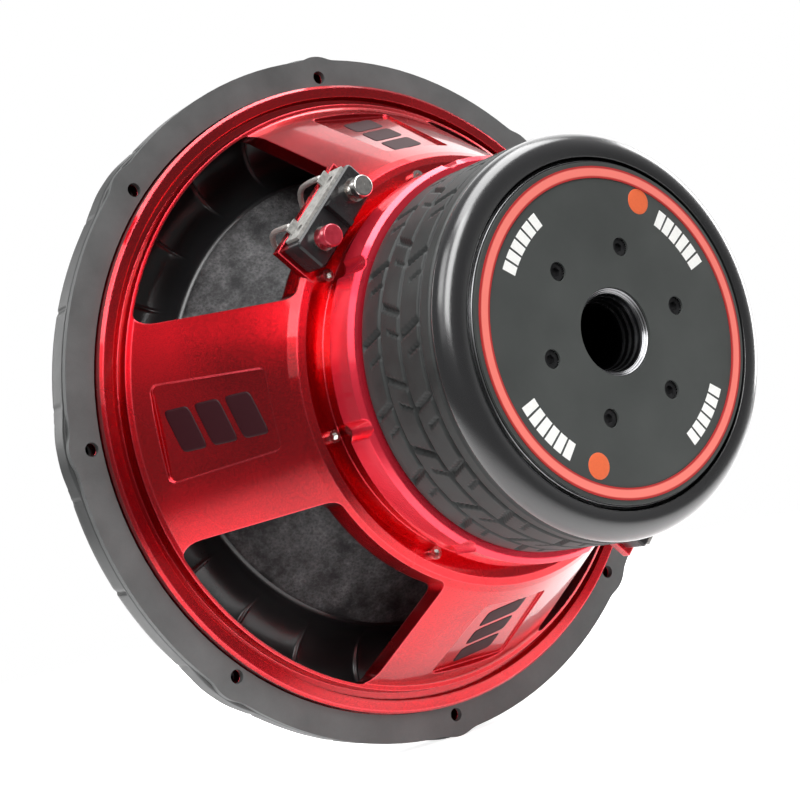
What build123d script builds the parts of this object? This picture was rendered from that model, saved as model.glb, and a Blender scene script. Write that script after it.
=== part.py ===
from build123d import *
import os
from math import atan2, cos, degrees, pi, radians, sin, sqrt, tan

# Car subwoofer driver, 12 inch class, millimetres.
# Every piece is drawn about an upright axis on which z grows towards the motor, and is then laid over so
# that the axis runs along +Y: the cone faces -Y and the motor stands behind, at +Y. The origin is the
# middle of the mounting plane, where the rear gasket seals on the baffle. Angles are counted from behind
# the driver: 0 points to the viewer's right, 90 points up.

# Mounting flange
FLANGE_R = 154.5
FLANGE_FRONT = -8.0
FLANGE_REAR = -3.0
BOLT_CIRCLE_R = 148.5
BOLT_COUNT = 8
BOLT_HOLE_R = 3.0
GASKET_R = 156.6
LUG_R = 158.4
CUTOUT_STEP_R = 143.5

# Basket
RIM_R = 131.5
RIM_Z = 8.5
COLLAR_R = 94.0
COLLAR_Z = 72.0
WALL = 6.0
SPOKE_COUNT = 4
WINDOW_RIM_HALF = 24.5
WINDOW_COLLAR_HALF = 19.0
WINDOW_CORNER = 5.0
SHELF_Z = 73.0
RECESS_Z = 77.0
MOTOR_RING_R = 84.5
MOTOR_RING_END = 103.5
SEAT_FRONT = 92.0
SEAT_REAR = 98.0
SEAT_BORE_R = 48.0

# Motor, from the front plate back
MAGNET_R = 75.0
MAGNET_BORE_R = 45.0
MAGNET_LENGTH = 19.0
TOP_PLATE_R = 74.0
TOP_PLATE_LENGTH = 12.0
GAP_R = 35.4
POLE_R = 31.0
VENT_R = 13.0
VENT_MOUTH_R = 15.5
BACK_PLATE_R = 72.0
MOTOR_END = 159.0
BOOT_R = 80.0
MOTOR_CLOCK = 11.0
MOTOR_SCREWS = 8
COLLAR_SCREW_CIRCLE_R = 84.5
SEAT_SCREW_CIRCLE_R = 62.0
POLE_SCREWS = 6
POLE_SCREW_CIRCLE_R = 34.0
POLE_CLOCK = 10.0

# Moving parts
CONE_EDGE_R = 102.0
CONE_NECK_R = 33.6
CONE_EDGE_Z = -9.0
CONE_NECK_Z = 48.5
CONE_WALL = 1.6
NECK_LENGTH = 9.5
DUST_CAP_R = 56.0
DUST_CAP_RISE = 18.0
ROLL_INNER_R = 102.5
ROLL_OUTER_R = 138.5
ROLL_WALL = 1.8
FORMER_R = 32.2
FORMER_WALL = 0.4
COIL_LENGTH = 44.0
COIL_LAYER = 0.85
SPIDER_FRONT_Z = 62.0
SPIDER_REAR_Z = 72.0
SPIDER_WALL = 0.8
SPIDER_WAVE = 2.2
SPIDER_PITCH = 9.0

# Push terminals, one pair in each of two opposite windows
TERMINAL_ANGLES = (133.5, 313.5)
TERMINAL_R = 95.5
POST_SPACING = 26.0
TAB_REAR = 77.0
BLOCK_REAR = 88.0
BUTTON_TRAVEL = 3.0
LEAD_R = 1.2
WIRE_HOLE_R = 1.7
WIRE_HOLE_DEPTH = 4.7


def turned(points):
    """Solid of revolution about the axis from a closed outline of (radius, z) points."""
    return revolve(Plane.XZ * Polygon(*points, align=None), Axis.Z)


def turned_outline(*edges):
    """Solid of revolution about the axis from edges that close an outline in the (radius, z) plane."""
    return revolve(Plane.XZ * make_face(edges), Axis.Z)


def tube(inner, outer, front, rear):
    """Plain ring between two radii and two stations."""
    return turned([(inner, front), (outer, front), (outer, rear), (inner, rear)])


def at(angle, radius=0.0, z=0.0):
    """Place at a radius and a station, turned so that local x points away from the axis."""
    return Rot(0, 0, angle + 180) * Pos(radius, 0, z)


def around(shape, count, radius, z, first=0.0):
    """Copies of a shape, evenly spaced on a circle."""
    return [at(first + 360 / count * i, radius, z) * shape for i in range(count)]


def holes(count, circle, radius, front, rear, first=0.0):
    """Straight round cutters parallel to the axis."""
    length = rear - front
    cutter = Cylinder(radius, length, align=(Align.CENTER, Align.CENTER, Align.MIN))
    return around(cutter, count, circle, front, first)


def cone_front(radius):
    """Station of the cone's front face at a radius."""
    run = (radius - CONE_NECK_R) / (CONE_EDGE_R - CONE_NECK_R)
    return CONE_NECK_Z + (CONE_EDGE_Z - CONE_NECK_Z) * run


# ---------------------------------------------------------------- frame and gaskets


def window_cutter():
    """Opening between two spokes: four straight sides with round corners, cut parallel to the axis."""
    rim = RIM_R + 0.8
    collar = COLLAR_R - 1.0
    corners = [
        (rim * cos(radians(WINDOW_RIM_HALF)), rim * sin(radians(WINDOW_RIM_HALF))),
        (collar * cos(radians(WINDOW_COLLAR_HALF)), collar * sin(radians(WINDOW_COLLAR_HALF))),
    ]
    outer, inner = corners
    outline = [
        Line(inner, outer),
        ThreePointArc(outer, (rim, 0), (outer[0], -outer[1])),
        Line((outer[0], -outer[1]), (inner[0], -inner[1])),
        ThreePointArc((inner[0], -inner[1]), (collar, 0), inner),
    ]
    face = make_face(outline)
    face = fillet(face.vertices(), WINDOW_CORNER)
    return extrude(Pos(0, 0, FLANGE_REAR + 1.0) * face, RECESS_Z + 8 - FLANGE_REAR)


def spoke_panel():
    """Flat recess in the outside face of a spoke, narrower towards the motor."""
    slope = degrees(atan2(COLLAR_Z - RIM_Z, RIM_R - COLLAR_R))
    middle = ((RIM_R + COLLAR_R) / 2, (RIM_Z + COLLAR_Z) / 2)
    outline = Polyline((27, -20.5), (27, 20.5), (-27, 16.5), (-27, -16.5), close=True)
    pocket = extrude(fillet(make_face(outline).vertices(), 3), 8)
    return Pos(middle[0], 0, middle[1]) * Rot(0, slope, 0) * Pos(0, 0, -2.4) * pocket


def basket():
    lean = Vector(COLLAR_R - RIM_R, COLLAR_Z - RIM_Z).normalized()
    inward = Vector(-lean.Y, lean.X) * WALL
    body = turned(
        [
            (FLANGE_R, FLANGE_FRONT),
            (FLANGE_R, FLANGE_REAR),
            (CUTOUT_STEP_R, FLANGE_REAR),
            (CUTOUT_STEP_R, 4.0),
            (CUTOUT_STEP_R - 1.2, 5.2),
            (137.8, 5.2),
            (137.0, 1.5),
            (134.2, 1.5),
            (133.6, RIM_Z - 0.8),
            (RIM_R, RIM_Z),
            (COLLAR_R, COLLAR_Z),
            (91.5, 75.6),
            (88.5, RECESS_Z),
            (80.5, RECESS_Z),
            (80.5, 87.0),
            (MOTOR_RING_R, 88.6),
            (MOTOR_RING_R, MOTOR_RING_END - 2.0),
            (MOTOR_RING_R - 2.0, MOTOR_RING_END),
            (TOP_PLATE_R + 0.4, MOTOR_RING_END),
            (TOP_PLATE_R + 0.4, SEAT_REAR),
            (SEAT_BORE_R, SEAT_REAR),
            (SEAT_BORE_R, SEAT_FRONT),
            (76.0, SEAT_FRONT),
            (76.0, SHELF_Z),
            (86.8, SHELF_Z),
            (COLLAR_R + inward.X, COLLAR_Z + inward.Y),
            (RIM_R + inward.X, RIM_Z + inward.Y),
            (134.0, FLANGE_REAR),
            (134.0, FLANGE_FRONT),
        ]
    )
    pitch = 360 / SPOKE_COUNT
    body -= [at(pitch * (i + 0.5)) * window_cutter() for i in range(SPOKE_COUNT)]
    body -= [at(pitch * i) * spoke_panel() for i in range(SPOKE_COUNT)]
    body -= holes(BOLT_COUNT, BOLT_CIRCLE_R, BOLT_HOLE_R, FLANGE_FRONT - 1, FLANGE_REAR + 1)
    tab = Box(19, 48, RECESS_Z - SHELF_Z, align=(Align.MIN, Align.CENTER, Align.MAX))
    body += [at(angle, 85.5, RECESS_Z) * tab for angle in TERMINAL_ANGLES]
    body -= holes(MOTOR_SCREWS, COLLAR_SCREW_CIRCLE_R, 1.6, SHELF_Z - 1, RECESS_Z + 1, MOTOR_CLOCK)
    body -= holes(MOTOR_SCREWS, MOTOR_RING_R + 2.0, 4.4, 87.5, MOTOR_RING_END + 1, MOTOR_CLOCK)
    body -= holes(MOTOR_SCREWS, SEAT_SCREW_CIRCLE_R, 3.2, SEAT_FRONT - 1, SEAT_REAR + 1, MOTOR_CLOCK)
    slot = Box(5, 9, 7, align=(Align.CENTER, Align.CENTER, Align.MAX))
    for angle in TERMINAL_ANGLES:
        for side in (-1, 1):
            body -= at(angle, 99.5, TAB_REAR + 1) * Pos(0, side * POST_SPACING / 2, 0) * slot
    return body


def lobed_outline(front, rear):
    """Disc whose edge swells a little round each mounting bolt."""
    outline = Circle(GASKET_R)
    lug_r = 16.0
    outline += [at(360 / BOLT_COUNT * i, LUG_R - lug_r) * Circle(lug_r) for i in range(BOLT_COUNT)]
    outline = fillet(outline.vertices(), 14.0)
    return extrude(Pos(0, 0, front) * outline, rear - front)


def rear_gasket():
    ring = tube(CUTOUT_STEP_R + 0.5, LUG_R + 1, FLANGE_REAR, 0.0)
    ring &= lobed_outline(FLANGE_REAR - 1, 1.0)
    ring -= holes(BOLT_COUNT, BOLT_CIRCLE_R, BOLT_HOLE_R, FLANGE_REAR - 1, 1.0)
    return ring


def front_gasket():
    """Thick trim ring: skirt over the flange edge, inner ridge, and a raised pad between each two bolts."""
    ring = turned(
        [
            (139.0, -9.9),
            (150.4, -9.9),
            (150.4, FLANGE_FRONT),
            (FLANGE_R + 0.3, FLANGE_FRONT),
            (FLANGE_R + 0.3, FLANGE_REAR),
            (LUG_R + 1, FLANGE_REAR),
            (LUG_R + 1, -13.0),
            (154.0, -18.6),
            (147.0, -19.5),
            (145.4, -16.0),
            (144.2, -16.0),
            (143.4, -21.2),
            (141.6, -22.2),
            (140.0, -21.0),
        ]
    )
    ring &= lobed_outline(-24.0, FLANGE_REAR + 1)
    well = Box(14, 26, 12, align=(Align.CENTER, Align.CENTER, Align.MAX))
    well = fillet(well.edges().filter_by(Axis.Z), 3)
    ring -= around(well, BOLT_COUNT, 153.2, -13.0)
    ring -= holes(BOLT_COUNT, BOLT_CIRCLE_R, BOLT_HOLE_R, -24.0, -7.0)
    return ring


# ---------------------------------------------------------------- cone and suspension


def surround():
    """Half roll with an outer lip under the gasket and an inner lip on the cone."""
    middle = (ROLL_INNER_R + ROLL_OUTER_R) / 2
    radius = (ROLL_OUTER_R - ROLL_INNER_R) / 2
    base = -9.8
    inner = radius - ROLL_WALL
    lip_r = 90.0
    lip_z = cone_front(lip_r) - 0.35
    foot_z = cone_front(ROLL_INNER_R) - 0.35
    return turned_outline(
        Line((ROLL_OUTER_R - ROLL_WALL, base), (ROLL_OUTER_R - ROLL_WALL, FLANGE_FRONT)),
        Line((ROLL_OUTER_R - ROLL_WALL, FLANGE_FRONT), (150.0, FLANGE_FRONT)),
        Line((150.0, FLANGE_FRONT), (150.0, base)),
        Line((150.0, base), (ROLL_OUTER_R, base)),
        ThreePointArc((ROLL_OUTER_R, base), (middle, base - radius), (ROLL_INNER_R, base)),
        Line((ROLL_INNER_R, base), (ROLL_INNER_R - 1.2, foot_z - 1.2)),
        Line((ROLL_INNER_R - 1.2, foot_z - 1.2), (lip_r, lip_z - 1.2)),
        Line((lip_r, lip_z - 1.2), (lip_r, lip_z)),
        Line((lip_r, lip_z), (ROLL_INNER_R, foot_z)),
        Line((ROLL_INNER_R, foot_z), (ROLL_INNER_R + ROLL_WALL, base)),
        ThreePointArc(
            (ROLL_INNER_R + ROLL_WALL, base), (middle, base - inner), (ROLL_OUTER_R - ROLL_WALL, base)
        ),
    )


def cone():
    return turned(
        [
            (FORMER_R + FORMER_WALL + 0.05, CONE_NECK_Z + 0.5),
            (CONE_NECK_R, CONE_NECK_Z),
            (CONE_EDGE_R, CONE_EDGE_Z),
            (CONE_EDGE_R + 0.6, CONE_EDGE_Z + CONE_WALL),
            (CONE_NECK_R + 1.6, CONE_NECK_Z + 1.6),
            (CONE_NECK_R + 0.8, CONE_NECK_Z + NECK_LENGTH),
            (FORMER_R + FORMER_WALL + 0.05, CONE_NECK_Z + NECK_LENGTH),
        ]
    )


def dust_cap():
    """Shallow dome with a flat rim that lies on the cone."""
    rim_z = cone_front(DUST_CAP_R) - 0.4
    wall = 1.2
    top = rim_z - DUST_CAP_RISE
    bend_r = DUST_CAP_R - 3.0

    def dome(height, radius, peak):
        """Point of the dome halfway out: an arc that meets its tangent at the axis."""
        ball = (radius * radius + height * height) / (2 * height)
        half = radius / 2
        return (half, peak + ball - sqrt(ball * ball - half * half))

    return turned_outline(
        ThreePointArc((0, top), dome(DUST_CAP_RISE, bend_r, top), (bend_r, rim_z)),
        Line((bend_r, rim_z), (bend_r + 0.8, rim_z + 0.6)),
        Line((bend_r + 0.8, rim_z + 0.6), (DUST_CAP_R, cone_front(DUST_CAP_R) - 1.4)),
        Line((DUST_CAP_R, cone_front(DUST_CAP_R) - 1.4), (DUST_CAP_R, cone_front(DUST_CAP_R) - 0.05)),
        Line(
            (DUST_CAP_R, cone_front(DUST_CAP_R) - 0.05),
            (bend_r - 1.0, cone_front(bend_r - 1.0) - 0.05),
        ),
        Line((bend_r - 1.0, cone_front(bend_r - 1.0) - 0.05), (bend_r - 1.0, rim_z + wall)),
        ThreePointArc(
            (bend_r - 1.0, rim_z + wall),
            dome(DUST_CAP_RISE, bend_r - 1.0, top + wall),
            (0, top + wall),
        ),
        Line((0, top + wall), (0, top)),
    )


def dust_cap_ring():
    """Plain raised ring moulded as a separate badge and glued above the middle of the cap."""
    rise = cone_front(DUST_CAP_R) - 0.4 - DUST_CAP_RISE
    bend_r = DUST_CAP_R - 3.0
    ball = (bend_r * bend_r + DUST_CAP_RISE * DUST_CAP_RISE) / (2 * DUST_CAP_RISE)
    offset = 19.0
    tilt = degrees(atan2(offset, ball))
    ring = Cylinder(14.0, 1.6) - Cylinder(10.0, 2.0)
    middle = rise + ball - sqrt(ball * ball - offset * offset)
    return at(90) * Pos(offset, 0, middle - 1.15) * Rot(0, -tilt, 0) * ring


def spider(edge_z, neck_z):
    """Corrugated disc: half waves of alternating side between the neck and the flat clamped edge."""
    neck_r = FORMER_R + FORMER_WALL + 0.4
    first = 40.0
    waves = 4
    pitch = SPIDER_PITCH
    last = first + waves * pitch
    edge_r = 82.8
    half = SPIDER_WALL / 2
    front = [Line((neck_r, neck_z - half), (first, edge_z - half))]
    rear = [Line((neck_r, neck_z + half), (first, edge_z + half))]
    for i in range(waves):
        for step, side in ((0.0, -1), (0.5, 1)):
            start = first + (i + step) * pitch
            end = start + pitch / 2
            middle = (start + end) / 2
            peak = edge_z + side * SPIDER_WAVE
            front.append(ThreePointArc((start, edge_z - half), (middle, peak - half), (end, edge_z - half)))
            rear.append(ThreePointArc((start, edge_z + half), (middle, peak + half), (end, edge_z + half)))
    front.append(Line((last, edge_z - half), (edge_r, edge_z - half)))
    rear.append(Line((last, edge_z + half), (edge_r, edge_z + half)))
    ends = [
        Line((neck_r, neck_z - half), (neck_r, neck_z + half)),
        Line((edge_r, edge_z - half), (edge_r, edge_z + half)),
    ]
    return turned_outline(*front, *rear, *ends)


def spider_spacer():
    ring = tube(77.0, 86.0, SPIDER_FRONT_Z + 0.4, SPIDER_REAR_Z - 0.4)
    ring -= holes(MOTOR_SCREWS, COLLAR_SCREW_CIRCLE_R, 1.6, SPIDER_FRONT_Z, SPIDER_REAR_Z, MOTOR_CLOCK)
    return ring


def spider_clamp_ring():
    ring = tube(77.0, 86.0, SPIDER_FRONT_Z - 4.0, SPIDER_FRONT_Z - 0.4)
    front = SPIDER_FRONT_Z - 5.0
    ring -= holes(MOTOR_SCREWS, COLLAR_SCREW_CIRCLE_R, 1.2, front, SPIDER_FRONT_Z, MOTOR_CLOCK)
    return ring


def former():
    return tube(FORMER_R, FORMER_R + FORMER_WALL, CONE_NECK_Z + 1.0, 128.0)


def winding(layer):
    """One of the two windings of the dual coil, the second wound over the first."""
    inner = FORMER_R + FORMER_WALL + 0.05 + layer * (COIL_LAYER + 0.05)
    middle = SEAT_REAR + TOP_PLATE_LENGTH / 2
    return tube(inner, inner + COIL_LAYER, middle - COIL_LENGTH / 2, middle + COIL_LENGTH / 2)


# ---------------------------------------------------------------- motor


def top_plate():
    plate = tube(GAP_R, TOP_PLATE_R, SEAT_REAR, SEAT_REAR + TOP_PLATE_LENGTH)
    plate -= holes(MOTOR_SCREWS, SEAT_SCREW_CIRCLE_R, 2.6, SEAT_REAR - 1, SEAT_REAR + 9.0, MOTOR_CLOCK)
    return plate


def magnet(front):
    return tube(MAGNET_BORE_R, MAGNET_R, front, front + MAGNET_LENGTH)


def magnet_front_z(index):
    return SEAT_REAR + TOP_PLATE_LENGTH + index * MAGNET_LENGTH


def pole_piece():
    """Vented pole with a foot let into the back plate."""
    foot = magnet_front_z(2)
    pole = turned(
        [
            (VENT_R, 93.0),
            (POLE_R - 1.5, 93.0),
            (POLE_R, 94.5),
            (POLE_R, foot + 0.4),
            (40.0, foot + 0.4),
            (40.0, foot + 6.0),
            (VENT_MOUTH_R - 1.0, foot + 6.0),
            (VENT_R, foot),
        ]
    )
    pole -= holes(POLE_SCREWS, POLE_SCREW_CIRCLE_R, 2.0, foot - 1, foot + 7, POLE_CLOCK)
    return pole


def shorting_sleeve():
    return tube(POLE_R + 0.03, POLE_R + 0.6, 95.0, 113.0)


def back_plate():
    """Steel plate with a pocket for the foot of the pole and a chamfered outer edge."""
    front = magnet_front_z(2)
    plate = turned(
        [
            (40.1, front),
            (BACK_PLATE_R, front),
            (BACK_PLATE_R, MOTOR_END - 7.0),
            (BACK_PLATE_R - 5.0, MOTOR_END),
            (VENT_MOUTH_R + 1.5, MOTOR_END),
            (VENT_MOUTH_R, MOTOR_END - 1.5),
            (VENT_MOUTH_R - 1.0, front + 6.0),
            (40.1, front + 6.0),
        ]
    )
    plate -= holes(POLE_SCREWS, POLE_SCREW_CIRCLE_R, 2.2, front + 5, MOTOR_END + 1, POLE_CLOCK)
    plate -= holes(POLE_SCREWS, POLE_SCREW_CIRCLE_R, 3.7, MOTOR_END - 3.6, MOTOR_END + 1, POLE_CLOCK)
    return plate


def hex_screw(head_r, head_length, shank_r, shank_length, key):
    """Cap screw with its head above z = 0 and a hexagon socket."""
    head = Cylinder(head_r, head_length, align=(Align.CENTER, Align.CENTER, Align.MIN))
    head -= Pos(0, 0, head_length * 0.45) * extrude(RegularPolygon(key, 6), head_length)
    shank = Cylinder(shank_r, shank_length, align=(Align.CENTER, Align.CENTER, Align.MAX))
    return head + shank


def motor_boot():
    """Rubber sleeve over the magnets: tread blocks at the front, a smooth band, and a round shoulder."""
    rear = magnet_front_z(2) - 1.0
    shoulder_z = MOTOR_END - 6.5
    sleeve = turned_outline(
        Line((75.4, 104.2), (BOOT_R - 1.2, 104.2)),
        Line((BOOT_R - 1.2, 104.2), (BOOT_R, 105.4)),
        Line((BOOT_R, 105.4), (BOOT_R, shoulder_z)),
        ThreePointArc(
            (BOOT_R, shoulder_z), (BOOT_R - 2.2, shoulder_z + 4.4), (BOOT_R - 7.0, MOTOR_END + 0.2)
        ),
        Line((BOOT_R - 7.0, MOTOR_END + 0.2), (BACK_PLATE_R - 3.6, MOTOR_END - 0.2)),
        Line((BACK_PLATE_R - 3.6, MOTOR_END - 0.2), (BACK_PLATE_R + 0.4, MOTOR_END - 6.6)),
        Line((BACK_PLATE_R + 0.4, MOTOR_END - 6.6), (BACK_PLATE_R + 0.4, rear + 1.4)),
        Line((BACK_PLATE_R + 0.4, rear + 1.4), (75.4, rear + 1.4)),
        Line((75.4, rear + 1.4), (75.4, 104.2)),
    )
    for z in (118.0, 131.0, 144.0):
        sleeve -= tube(BOOT_R - 1.4, BOOT_R + 1, z, z + 2.0)
    block_rows = ((106.5, 118.0), (120.0, 131.0))
    for row, (front, rear_z) in enumerate(block_rows):
        cutter = Box(3, 2.4, rear_z - front, align=(Align.CENTER, Align.CENTER, Align.MIN))
        sleeve -= around(cutter, 20, BOOT_R + 0.1, front, row * 9.0)
    return sleeve


def label_disc():
    disc = tube(VENT_MOUTH_R + 1.8, BACK_PLATE_R - 5.6, MOTOR_END, MOTOR_END + 1.0)
    disc -= holes(POLE_SCREWS, POLE_SCREW_CIRCLE_R, 3.7, MOTOR_END - 1, MOTOR_END + 2, POLE_CLOCK)
    return disc


def label_ring():
    return tube(60.0, 64.7, MOTOR_END + 1.0, MOTOR_END + 1.4)


# ---------------------------------------------------------------- terminals and leads


def terminal_block():
    """Moulded body on the basket tab, with a rib between the two posts and two solder slots below."""
    block = Box(15, 44, BLOCK_REAR - TAB_REAR, align=(Align.CENTER, Align.CENTER, Align.MIN))
    block = fillet(block.edges().filter_by(Axis.Z), 2)
    block = chamfer(block.faces().sort_by(Axis.Z)[-1].edges(), 0.8)
    rib = Box(13, 2.4, 3.4, align=(Align.CENTER, Align.CENTER, Align.MIN))
    block += Pos(0, 0, BLOCK_REAR - TAB_REAR) * rib
    for side in (-1, 1):
        well = Cylinder(3.4, 9.0, align=(Align.CENTER, Align.CENTER, Align.MAX))
        block -= Pos(0, side * POST_SPACING / 2, BLOCK_REAR - TAB_REAR) * well
        wire = Cylinder(WIRE_HOLE_R, 20, rotation=(0, 90, 0))
        block -= Pos(0, side * POST_SPACING / 2, BLOCK_REAR - TAB_REAR - WIRE_HOLE_DEPTH) * wire
    return block


def terminal_barrels():
    """Plated collars that guide the two buttons."""
    collar = Cylinder(4.9, 2.2, align=(Align.CENTER, Align.CENTER, Align.MIN))
    collar -= Cylinder(2.75, 6)
    return [Pos(0, side * POST_SPACING / 2, 0) * collar for side in (-1, 1)]


def push_button():
    """Cap on a stem that runs down into the block; its cross hole meets the block's when it is pressed."""
    cap = Cylinder(4.5, 3.6, align=(Align.CENTER, Align.CENTER, Align.MIN))
    cap = fillet(cap.edges().sort_by(Axis.Z)[-1], 0.9)
    stem = Cylinder(2.65, 9.4, align=(Align.CENTER, Align.CENTER, Align.MAX))
    button = Pos(0, 0, 2.2 + BUTTON_TRAVEL + 0.3) * (cap + stem)
    wire = Cylinder(WIRE_HOLE_R - 0.1, 12, rotation=(0, 90, 0))
    return button - Pos(0, 0, BUTTON_TRAVEL - WIRE_HOLE_DEPTH) * wire


def button_spring():
    """Coil spring below the stem, four turns."""
    wire_r = 0.25
    coil_r = 2.0
    height = 3.6
    path = Helix(pitch=height / 4, height=height, radius=coil_r)
    section = Plane(origin=path @ 0, z_dir=path % 0) * Circle(wire_r)
    return sweep(section, path=path)


def lug_strip():
    """Fibre strip on the outer side of the block: a wire hole and a tinned lug for each post."""
    strip = Box(1.4, 38, 9, align=(Align.MIN, Align.CENTER, Align.CENTER))
    strip_z = 5.5
    wire_z = BLOCK_REAR - TAB_REAR - WIRE_HOLE_DEPTH - strip_z
    for side in (-1, 1):
        wire = Cylinder(WIRE_HOLE_R, 10, rotation=(0, 90, 0))
        strip -= Pos(0, side * POST_SPACING / 2, wire_z) * wire
        lug = Box(3.0, 6, 1.0, align=(Align.MIN, Align.CENTER, Align.CENTER))
        strip += Pos(1.4, side * POST_SPACING / 2, -2.0) * lug
    return Pos(0, 0, strip_z) * strip


def lead_points(angle, side):
    """Route of one braided lead: off the lug, forward past the clamp ring, in to the neck of the cone."""
    across = side * POST_SPACING / 2
    drawn = [
        (106.6, across, TAB_REAR + 2.5),
        (107.4, across * 0.98, TAB_REAR - 5.5),
        (106.0, across * 0.94, TAB_REAR - 15.0),
        (97.0, across * 0.86, TAB_REAR - 23.0),
        (85.0, across * 0.74, TAB_REAR - 27.5),
        (71.0, across * 0.62, TAB_REAR - 27.0),
        (58.0, across * 0.50, TAB_REAR - 23.5),
        (46.5, across * 0.40, TAB_REAR - 22.6),
        (34.9, across * 0.34, TAB_REAR - 22.5),
    ]
    return [at(angle) * Pos(*point) for point in drawn]


def tinsel_lead(angle, side):
    points = [place.position for place in lead_points(angle, side)]
    runs = [b - a for a, b in zip(points, points[1:])]
    radii = []
    for before, after in zip(runs, runs[1:]):
        turn = radians(before.get_angle(after))
        radii.append(0.45 * min(before.length, after.length) / tan(turn / 2))
    path = FilletPolyline(*points, radius=radii)
    section = Plane(origin=path @ 0, z_dir=path % 0) * Circle(LEAD_R)
    lead = sweep(section, path=path)
    print("lead at", angle, side, "length", round(path.length, 1), "radii", [round(r, 1) for r in radii])
    print("   volume over section x length", round(lead.volume / (pi * LEAD_R**2 * path.length), 4))
    return lead


# ---------------------------------------------------------------- assembly


def save(name, *shapes):
    """Lay the piece over so that the axis runs along +Y, and write it."""
    solids = [solid for shape in shapes for solid in shape.solids()]
    laid = [Rot(-90, 0, 0) * solid for solid in solids]
    node = laid[0] if len(laid) == 1 else Compound(children=laid)
    node.label = name
    export_step(node, f"parts/{name}.step")


def main():
    os.makedirs("parts", exist_ok=True)

    save("basket", basket())
    save("rear_gasket", rear_gasket())
    save("front_gasket", front_gasket())

    save("surround", surround())
    save("cone", cone())
    save("dust_cap", dust_cap())
    save("dust_cap_ring", dust_cap_ring())
    save("spider_front", spider(SPIDER_FRONT_Z, SPIDER_FRONT_Z - 2.0))
    save("spider_rear", spider(SPIDER_REAR_Z, SPIDER_REAR_Z - 2.0))
    save("spider_spacer", spider_spacer())
    save("spider_clamp_ring", spider_clamp_ring())
    save("voice_coil_former", former())
    save("voice_coil_inner_winding", winding(0))
    save("voice_coil_outer_winding", winding(1))

    save("top_plate", top_plate())
    save("magnet_front", magnet(magnet_front_z(0)))
    save("magnet_rear", magnet(magnet_front_z(1)))
    save("pole_piece", pole_piece())
    save("shorting_sleeve", shorting_sleeve())
    save("back_plate", back_plate())
    save("motor_boot", motor_boot())
    save("label_disc", label_disc())
    save("label_ring", label_ring())

    collar_screw = hex_screw(2.6, 2.6, 1.15, 17.5, 1.5)
    save("collar_screws", *around(collar_screw, MOTOR_SCREWS, COLLAR_SCREW_CIRCLE_R, RECESS_Z, MOTOR_CLOCK))
    seat_screw = Rot(180, 0, 0) * hex_screw(4.6, 4.8, 2.55, 13.5, 2.6)
    save("motor_screws", *around(seat_screw, MOTOR_SCREWS, SEAT_SCREW_CIRCLE_R, SEAT_FRONT, MOTOR_CLOCK))
    pole_screw = hex_screw(3.5, 3.2, 1.95, 6.2, 2.0)
    pole_seat = MOTOR_END - 3.6
    save("pole_screws", *around(pole_screw, POLE_SCREWS, POLE_SCREW_CIRCLE_R, pole_seat, POLE_CLOCK))

    for letter, angle in zip("ab", TERMINAL_ANGLES):
        seat = at(angle, TERMINAL_R, TAB_REAR)
        save(f"terminal_{letter}_block", seat * terminal_block())
        top = at(angle, TERMINAL_R, BLOCK_REAR)
        save(f"terminal_{letter}_barrels", *[top * collar for collar in terminal_barrels()])
        strip = at(angle, TERMINAL_R + 7.5, TAB_REAR) * lug_strip()
        save(f"terminal_{letter}_lug_strip", strip)
        for colour, side in (("black", -1), ("red", 1)):
            post = at(angle, TERMINAL_R, BLOCK_REAR) * Pos(0, side * POST_SPACING / 2, 0)
            save(f"terminal_{letter}_{colour}_button", post * push_button())
            save(f"terminal_{letter}_{colour}_spring", post * Pos(0, 0, -8.0) * button_spring())
            save(f"tinsel_lead_{letter}_{colour}", tinsel_lead(angle, side))


main()
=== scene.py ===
import math

import bmesh
import bpy
import numpy as np
from mathutils import Matrix, Vector


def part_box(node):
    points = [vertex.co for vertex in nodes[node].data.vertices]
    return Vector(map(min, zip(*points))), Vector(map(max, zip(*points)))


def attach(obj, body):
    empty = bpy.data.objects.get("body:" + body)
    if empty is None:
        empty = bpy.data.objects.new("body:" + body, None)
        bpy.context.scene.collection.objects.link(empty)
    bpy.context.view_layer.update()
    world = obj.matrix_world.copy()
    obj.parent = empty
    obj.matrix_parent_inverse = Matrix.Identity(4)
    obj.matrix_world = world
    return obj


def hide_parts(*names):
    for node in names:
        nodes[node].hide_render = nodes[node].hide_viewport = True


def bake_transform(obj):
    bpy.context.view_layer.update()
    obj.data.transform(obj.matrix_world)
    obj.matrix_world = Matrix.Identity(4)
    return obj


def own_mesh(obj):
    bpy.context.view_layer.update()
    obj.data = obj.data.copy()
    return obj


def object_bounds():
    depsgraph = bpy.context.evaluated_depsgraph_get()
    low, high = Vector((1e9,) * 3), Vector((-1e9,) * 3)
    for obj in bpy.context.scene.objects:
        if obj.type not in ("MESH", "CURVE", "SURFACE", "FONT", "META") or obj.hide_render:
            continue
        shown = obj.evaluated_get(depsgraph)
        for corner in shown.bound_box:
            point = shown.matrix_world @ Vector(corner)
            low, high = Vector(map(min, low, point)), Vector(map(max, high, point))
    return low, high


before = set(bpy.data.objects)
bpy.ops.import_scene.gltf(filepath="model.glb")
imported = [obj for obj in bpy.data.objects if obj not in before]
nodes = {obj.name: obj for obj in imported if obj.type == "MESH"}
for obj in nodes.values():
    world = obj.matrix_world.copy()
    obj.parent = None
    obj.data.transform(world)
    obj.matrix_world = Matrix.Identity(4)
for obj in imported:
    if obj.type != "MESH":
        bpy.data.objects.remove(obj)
cad_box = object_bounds()

# -------------------------------------------------------- stand, camera and light
# The driver stands on the lower edge of its gasket on a pale studio table. It is seen from behind, from its
# right and a little from below, with the motor towards the viewer. Large soft lights hang above it and stand
# on all four sides.

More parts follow.
